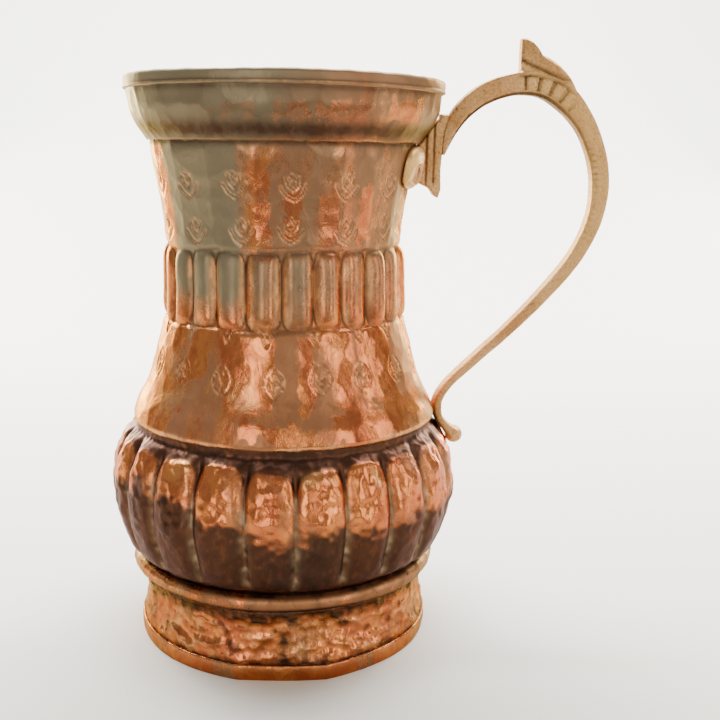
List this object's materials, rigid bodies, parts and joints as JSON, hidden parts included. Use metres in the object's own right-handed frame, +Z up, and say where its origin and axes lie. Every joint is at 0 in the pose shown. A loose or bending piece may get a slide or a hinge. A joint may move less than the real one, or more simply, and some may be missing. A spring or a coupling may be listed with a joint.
{
  "type": "water jug",
  "caption": "Waisted beaten copper jug with fluted neck band, lobed belly, flared foot and rolled lip, carried by an arched cast brass side handle.",
  "frame": {"origin": "centre of the circle that the foot stands on, on the jug's axis", "axes": "+Z up along the jug's axis, +X towards the handle, whose bar lies in the XZ plane"},
  "size_m": [0.2253, 0.1578, 0.27],
  "materials": {
    "neck_copper": "beaten copper, half polished, olive brown patina with orange highlights",
    "belly_copper": "beaten copper, orange crowns above, dark brown patina below",
    "foot_copper": "beaten copper, bright orange, dented",
    "cast_brass": "rough cast brass, dull tan and pitted",
    "rivet_copper": "hammered copper",
    "rim_iron": "drawn iron wire"
  },
  "bodies": {
    "root": {"lip_band": "neck_copper", "rim_wire": "rim_iron", "mouth_collar": "neck_copper", "neck": "neck_copper", "belly": "belly_copper", "bottom_plate": "belly_copper", "base_bead": "foot_copper", "foot": "foot_copper", "foot_hem": "foot_copper", "handle_bar": "cast_brass", "handle_saddle": "cast_brass", "saddle_rivets": "rivet_copper", "saddle_rivet_burrs": "rivet_copper", "tail_rivet": "cast_brass", "tail_rivet_burr": "rivet_copper"}
  },
  "joints": []
}
